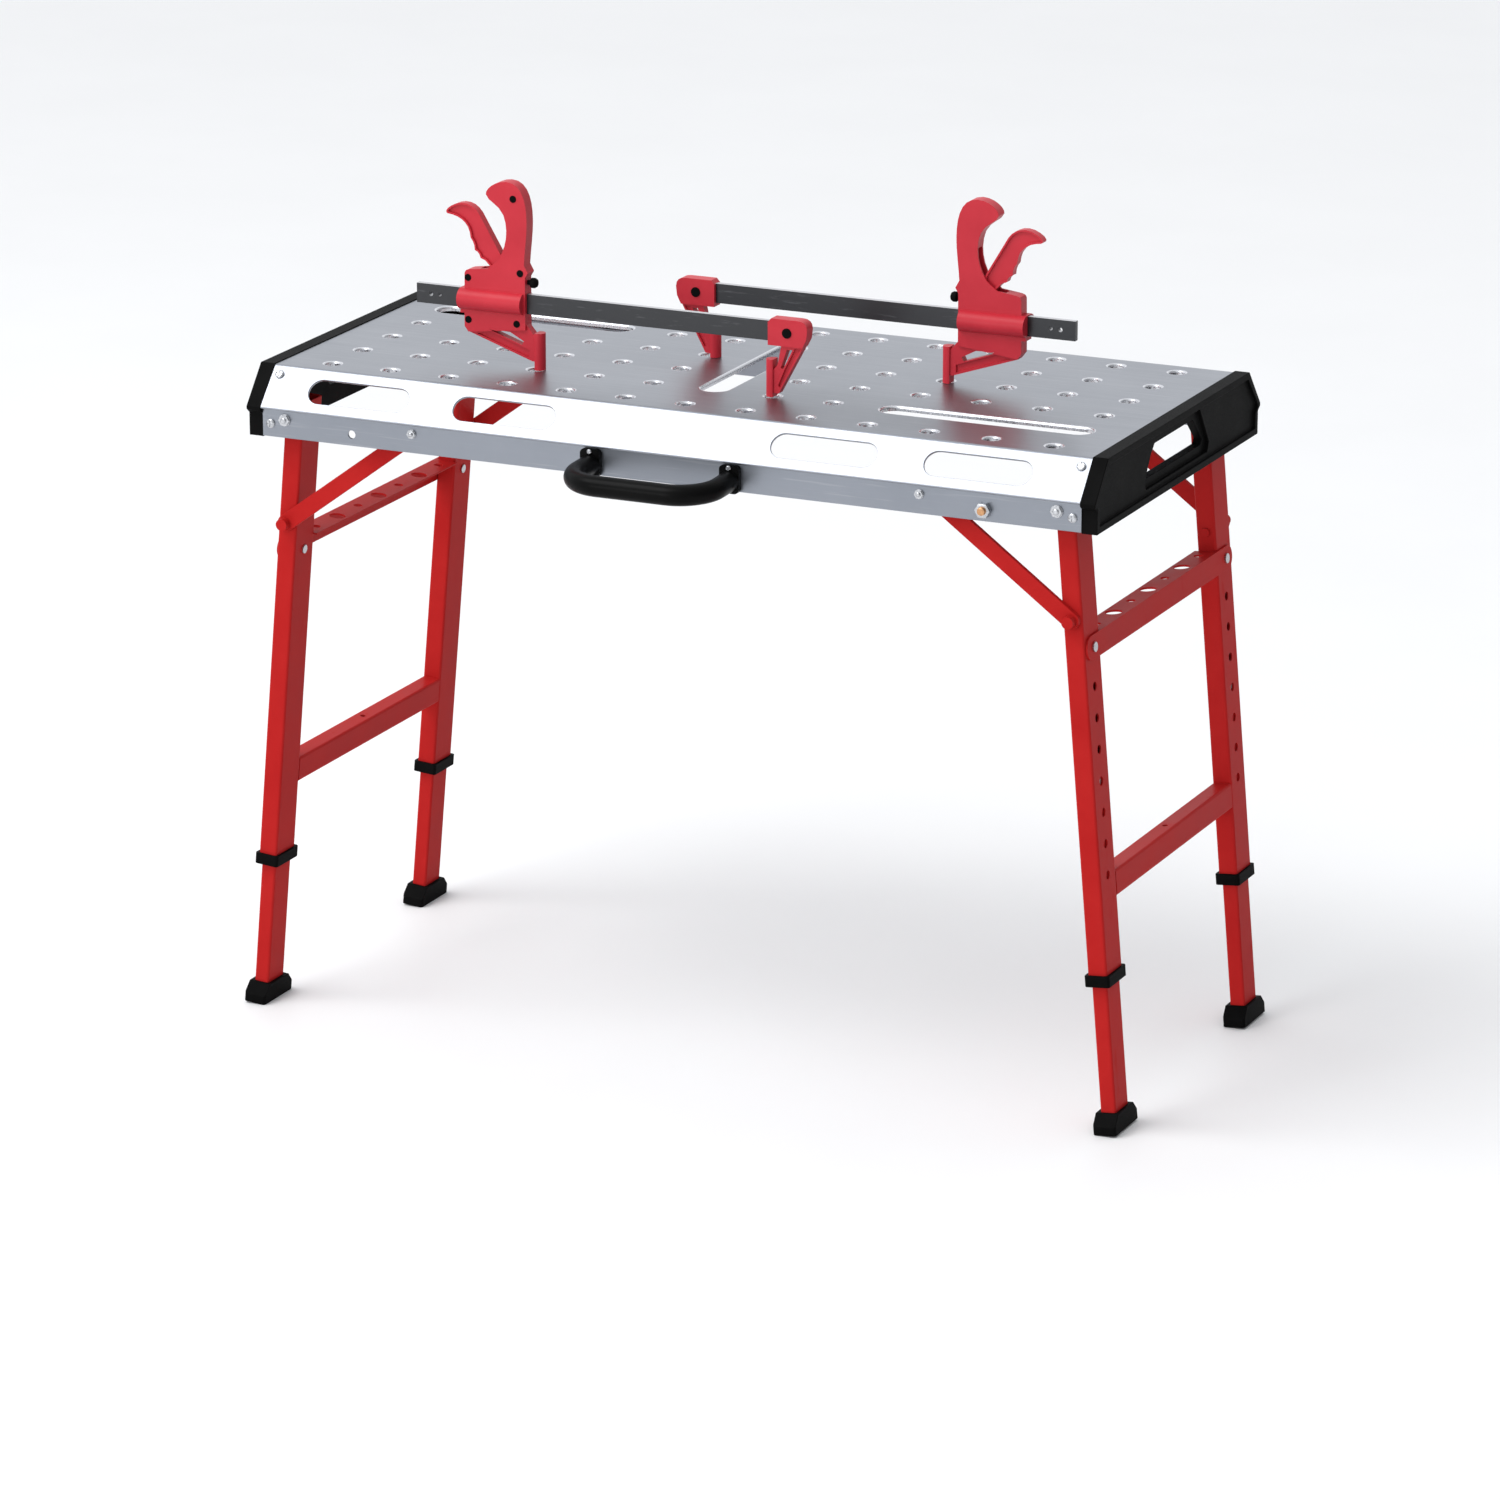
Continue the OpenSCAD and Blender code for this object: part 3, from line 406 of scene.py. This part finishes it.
def clean_copy(node):
    """The node's mesh in the object's frame, welded and with its coplanar triangles joined.

    Faces that bend back round a wide opening are split, because their triangles would cover it.
    """
    source = NODES[node]
    shell = bmesh.new()
    shell.from_mesh(source.data)
    bmesh.ops.transform(shell, matrix=source.matrix_world, verts=shell.verts)
    bmesh.ops.remove_doubles(shell, verts=shell.verts, dist=WELD)
    bmesh.ops.dissolve_limit(shell, angle_limit=COPLANAR, verts=shell.verts, edges=shell.edges)
    if node.endswith(OPEN_FACED):
        bmesh.ops.connect_verts_concave(shell, faces=shell.faces)
    return shell


def round_edges(shell, edges, width):
    bmesh.ops.bevel(shell, geom=edges, offset=width, segments=2, affect="EDGES", profile=0.5,
                    clamp_overlap=True)


# ---------- softened CAD pieces ----------

def soften(node, width, segments):
    """Rounds the node's sharp edges."""
    shell = clean_copy(node)
    for face in shell.faces:
        face.smooth = True
    obj = to_object(shell, node + "_soft")
    link_object(obj)
    bevel = obj.modifiers.new("round", "BEVEL")
    bevel.width = width
    bevel.segments = segments
    bevel.limit_method = "ANGLE"
    bevel.angle_limit = SHARP
    bevel.use_clamp_overlap = True
    bevel.miter_outer = "MITER_ARC"
    bevel.face_strength_mode = "FSTR_ALL"
    normals = obj.modifiers.new("weights", "WEIGHTED_NORMAL")
    normals.use_face_influence = True
    normals.keep_sharp = True
    bake(obj)
    bpy.context.scene.collection.objects.unlink(obj)
    as_piece(obj, node, finish_of(node))


def soften_rail(node):
    """Rounds only the long edges of a drilled rail, so that its face stays true round the holes."""
    shell = clean_copy(node)
    edges = [edge for edge in shell.edges
             if edge.calc_length() > RAIL_SHORTEST and edge.calc_face_angle(0.0) > SHARP]
    round_edges(shell, edges, RAIL_SOFT)
    shade(shell, CREASE)
    weight_normals(as_piece(to_object(shell, node + "_soft"), node, finish_of(node)))


def soften_pieces():
    """Softens the rails and all that SOFT_EDGES names; legs and cross tubes stay as the CAD has them."""
    for node in RAILS:
        soften_rail(node)
    for node in sorted(NODES):
        for endings, width, segments in SOFT_EDGES:
            if node.endswith(endings):
                soften(node, width, segments)
                break


def make_ground_stud():
    """Brass stud with a steel nut on each side of the rail."""
    low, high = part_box("ground_stud")
    axis_x, axis_z = (low[0] + high[0]) / 2, (low[2] + high[2]) / 2

    def is_brass(face):
        return all(math.hypot(v.co.x - axis_x, v.co.z - axis_z) < STUD_REACH for v in face.verts)

    parts = (("ground_stud_bolt", "earth_brass", True), ("ground_stud_nuts", "bright_steel", False))
    for name, slot, brass in parts:
        shell = clean_copy("ground_stud")
        sharp = [edge for edge in shell.edges if edge.calc_face_angle(0.0) > STUD_SHARP]
        round_edges(shell, sharp, STUD_SOFT)
        other = [face for face in shell.faces if is_brass(face) != brass]
        bmesh.ops.delete(shell, geom=other, context="FACES")
        shade(shell, CREASE)
        as_piece(to_object(shell, name), "ground_stud", slot)


# ---------- top sheet ----------

def turns(angle, steps):
    """Equal steps from 0 to angle."""
    return [angle * i / steps for i in range(steps + 1)]


def rectangle(half_x, low, high):
    return [(-half_x, low), (half_x, low), (half_x, high), (-half_x, high)]


def section(start, end):
    """Corners (place, depth) of a cut through the sheet."""
    return [(start, 0.0), (end, 0.0), (end, -SHEET), (start, -SHEET)]


def stadium_loop(length, width, inset):
    """Outline of a round-ended opening along X.

    It is a circle when length equals width, and then its two halves share their end points.
    """
    radius, half = width / 2 - inset, (length - width) / 2
    loop = []
    for end in (1, -1):
        for i in range(END_STEPS + 1):
            turn = math.pi * (i / END_STEPS - 0.5)
            if half > 0 or i < END_STEPS:
                loop.append((end * (half + radius * math.cos(turn)), end * radius * math.sin(turn)))
    return loop


def rolled_rim():
    """Profile (inset, depth) of a rim pressed down round an opening, from the top face to the underside."""
    arc = [(RIM_ROLL * math.sin(t), -RIM_DROP * (1 - math.cos(t))) for t in turns(math.pi / 2, ARC_STEPS)]
    lip = (RIM_ROLL / 2, -RIM_WALL - RIM_LIP)
    return arc + [(RIM_ROLL, -RIM_WALL), lip, (0.0, -RIM_WALL), (0.0, -SHEET)]


def cut_edge():
    """Profile (inset, depth) of a punched opening with barely rounded edges."""
    arc_in, arc_down = 0.7, 0.3
    upper = [(0.0, 0.0), (CUT_SOFT * arc_in, -CUT_SOFT * arc_down), (CUT_SOFT, -CUT_SOFT)]
    return upper + [(inset, -SHEET - depth) for inset, depth in reversed(upper)]


def in_slot(column, row):
    """Whether a slot takes the place of this hole."""
    in_left = row == SLOT_ROW and column <= -SLOT_FROM
    in_right = row == -SLOT_ROW and column >= SLOT_FROM
    in_cross = column == 0 and abs(row) <= SLOT_ROW
    return in_left or in_right or in_cross


def inside(point, loop):
    """Whether a point lies in a convex outline given anticlockwise."""
    return all((b[0] - a[0]) * (point.y - a[1]) > (b[1] - a[1]) * (point.x - a[0])
               for a, b in zip(loop, loop[1:] + loop[:1]))


def in_box(point, low, high):
    return low[0] < point.x < high[0] and low[1] < point.y < high[1]


class Sheet:
    """A sheet-metal mesh built from panels, bends and rolled openings."""

    def __init__(self):
        self.shell = bmesh.new()

    def face(self, points):
        self.shell.faces.new([self.shell.verts.new(p) for p in points])

    def panel(self, place, outline, openings, depth):
        """A flat panel with open holes; place turns (u, v, depth) into a point."""
        points, edges = [], []
        for loop in [outline] + openings:
            first = len(points)
            points += [Vector(p) for p in loop]
            edges += [(first + i, first + (i + 1) % len(loop)) for i in range(len(loop))]
        all_triangles, precision = 0, 1e-9
        found, _, faces, _, _, _ = delaunay_2d_cdt(points, edges, [], all_triangles, precision)
        holes = [(loop, [min(c) for c in zip(*loop)], [max(c) for c in zip(*loop)]) for loop in openings]
        for corners in faces:
            middle = sum((found[i] for i in corners), Vector((0, 0))) / 3
            if not any(in_box(middle, low, high) and inside(middle, loop) for loop, low, high in holes):
                self.face([place(found[i].x, found[i].y, depth) for i in corners])

    def skin(self, rows, closed):
        """Quads between neighbouring rows of points."""
        for row, following in zip(rows, rows[1:]):
            for i in range(len(row) - (0 if closed else 1)):
                j = (i + 1) % len(row)
                self.face([row[i], row[j], following[j], following[i]])

    def finish(self, name):
        bmesh.ops.remove_doubles(self.shell, verts=self.shell.verts, dist=SHEET_WELD)
        bmesh.ops.recalc_face_normals(self.shell, faces=self.shell.faces)
        shade(self.shell, SHEET_CREASE)
        return to_object(self.shell, name)


class TopPlate:
    """Work surface with rolled hole and slot rims, a bend along both long edges and windowed slopes."""

    def __init__(self):
        low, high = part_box("top_plate")
        self.middle = (Vector(low) + Vector(high)) / 2
        self.top = high[2]
        self.end_x = high[0] - self.middle.x
        self.ends = (-self.end_x, self.end_x)
        slope_out = high[1] - self.middle.y - FLAT_HALF
        self.slope = math.atan2(SLOPE_DOWN, slope_out)
        self.slope_length = math.hypot(SLOPE_DOWN, slope_out)
        self.bend_start = BEND * math.tan(self.slope / 2)
        self.edge = FLAT_HALF - self.bend_start
        self.work, self.rims = Sheet(), Sheet()

    def flat(self, u, v, depth):
        """A point on the work surface, or above or below it."""
        return Vector((self.middle.x + u, self.middle.y + v, self.top + depth))

    def on_slope(self, side):
        """Like flat, for the slope on one side: t runs down it from where it would meet the work surface."""
        def place(u, t, depth):
            return self.flat(u, side * (FLAT_HALF + t * math.cos(self.slope) + depth * math.sin(self.slope)),
                             -t * math.sin(self.slope) + depth * math.cos(self.slope))
        return place

    def opening(self, part, place, size, profile, shift, turned=False):
        """Adds the edge of an opening to part and returns its outline."""
        def loop(inset):
            points = stadium_loop(*size, inset)
            if turned:
                points = [(-y, x) for x, y in points]
            return [(x + shift[0], y + shift[1]) for x, y in points]
        part.skin([[place(x, y, depth) for x, y in loop(inset)] for inset, depth in profile], True)
        return loop(0.0)

    def rim(self, length, width, shift, turned=False):
        """A rolled rim in the work surface, grown by the width of its roll."""
        size = (length + 2 * RIM_ROLL, width + 2 * RIM_ROLL)
        return self.opening(self.rims, self.flat, size, rolled_rim(), shift, turned)

    def add_surface(self):
        openings = []
        for side in (1, -1):
            shift = (-side * SLOT_COLUMN * PITCH_X, side * SLOT_ROW * PITCH_Y)
            openings.append(self.rim(SLOT_LENGTH, SLOT_WIDTH, shift))
        openings.append(self.rim(CROSS_SLOT_LENGTH, SLOT_WIDTH, (0.0, 0.0), turned=True))
        for column in HOLE_COLUMNS:
            for row in HOLE_ROWS:
                if not in_slot(column, row):
                    openings.append(self.rim(HOLE_WIDTH, HOLE_WIDTH, (column * PITCH_X, row * PITCH_Y)))
        for depth in (0.0, -SHEET):
            self.work.panel(self.flat, rectangle(self.end_x, -self.edge, self.edge), openings, depth)

    def add_slope(self, side):
        """One long side: the slope with its windows, the bend above it and its rounded lower edge."""
        place = self.on_slope(side)
        half_sheet = SHEET / 2
        nose_start = self.slope_length - half_sheet
        size = (WINDOW_LENGTH + 2 * CUT_SOFT, WINDOW_HEIGHT + 2 * CUT_SOFT)
        windows = [self.opening(self.work, place, size, cut_edge(), (x, self.slope_length / 2))
                   for x in WINDOW_X]
        for depth in (0.0, -SHEET):
            self.work.panel(place, rectangle(self.end_x, self.bend_start, nose_start), windows, depth)
        bend = [[(side * (self.edge + radius * math.sin(t)), -BEND + radius * math.cos(t))
                 for t in turns(self.slope, BEND_STEPS)] for radius in (BEND, BEND - SHEET)]
        for row in bend:
            self.work.skin([[self.flat(x, y, z) for x in self.ends] for y, z in row], False)
        nose = [(nose_start + half_sheet * math.sin(t), -half_sheet + half_sheet * math.cos(t))
                for t in turns(math.pi, ARC_STEPS)]
        self.work.skin([[place(x, t, depth) for x in self.ends] for t, depth in nose], False)
        for x in self.ends:
            self.work.skin([[self.flat(x, y, z) for y, z in row] for row in bend], False)
            self.work.face([place(x, t, depth) for t, depth in section(self.bend_start, nose_start)])
            self.work.face([place(x, t, depth) for t, depth in nose])

    def build(self):
        self.add_surface()
        for side in (-1, 1):
            self.add_slope(side)
        for x in self.ends:
            self.work.face([self.flat(x, y, depth) for y, depth in section(-self.edge, self.edge)])
        sheet = self.work.finish("top_plate_sheet")
        rims = self.rims.finish("top_plate_rims")
        weight_normals(as_piece(sheet, "top_plate", "table_steel"))
        # The rims take a much lighter steel than the sheet: a painted highlight round every hole and slot.
        weight_normals(as_piece(rims, "top_plate", "rim_steel"))


# ---------- floor, light and camera ----------

def make_floor():
    shell = bmesh.new()
    shell.faces.new([shell.verts.new((x, y, 0.0)) for x, y in rectangle(FLOOR_HALF, -FLOOR_HALF, FLOOR_HALF)])
    floor = to_object(shell, "floor")
    link_object(floor)
    floor.data.materials.append(floor_paint())


def area_light(name, place, aim, size, power):
    data = bpy.data.lights.new(name, "AREA")
    data.shape = "RECTANGLE"
    data.size, data.size_y = size
    data.energy = power
    lamp = bpy.data.objects.new(name, data)
    lamp.location = place
    lamp.rotation_euler = (Vector(aim) - Vector(place)).to_track_quat("-Z", "Y").to_euler()
    link_object(lamp)


def make_exposure():
    """Plain display transform, so that whites stay white and the paint keeps its colour."""
    bpy.context.scene.view_settings.view_transform = "Standard"
    bpy.context.scene.view_settings.look = "None"


def make_world():
    """Even soft light all round, which falls off towards +X."""
    world = bpy.data.worlds.new("studio")
    world.use_nodes = True
    tree = world.node_tree
    place = tree.nodes.new("ShaderNodeTexCoord")
    split = tree.nodes.new("ShaderNodeSeparateXYZ")
    fall = tree.nodes.new("ShaderNodeMapRange")
    set_range(fall, 0.0, WORLD_DARK_FROM, WORLD_STRENGTH, WORLD_STRENGTH * WORLD_DARK_SIDE)
    tree.links.new(place.outputs["Generated"], split.inputs[0])
    tree.links.new(split.outputs["X"], fall.inputs["Value"])
    background = tree.nodes["Background"]
    background.inputs["Color"].default_value = (*WORLD_COLOUR, 1.0)
    tree.links.new(fall.outputs["Result"], background.inputs["Strength"])
    bpy.context.scene.world = world


def make_lights():
    centre = (Vector(cad_low) + Vector(cad_high)) / 2
    area_light("key", place=(-2.0, -1.9, 4.4), aim=centre, size=(3.0, 2.4), power=110.0)
    area_light("front", place=(-1.6, -4.6, 1.6), aim=centre, size=(1.6, 1.6), power=30.0)


def make_camera():
    low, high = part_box("top_plate")
    surface = Vector(((low[0] + high[0]) / 2, (low[1] + high[1]) / 2, high[2]))
    data = bpy.data.cameras.new("camera")
    data.lens = CAMERA_LENS
    data.sensor_width = CAMERA_SENSOR
    camera = bpy.data.objects.new("camera", data)
    azimuth, elevation = math.radians(CAMERA_AZIMUTH), math.radians(CAMERA_ELEVATION)
    back = Vector((math.sin(azimuth) * math.cos(elevation), -math.cos(azimuth) * math.cos(elevation),
                   math.sin(elevation)))
    camera.location = surface + CAMERA_AIM + CAMERA_DISTANCE * back
    camera.rotation_euler = (math.pi / 2 - elevation, 0.0, azimuth)
    link_object(camera)
    bpy.context.scene.camera = camera


paint_nodes()
TopPlate().build()
soften_pieces()
make_ground_stud()
make_exposure()
make_floor()
make_world()
make_lights()
make_camera()
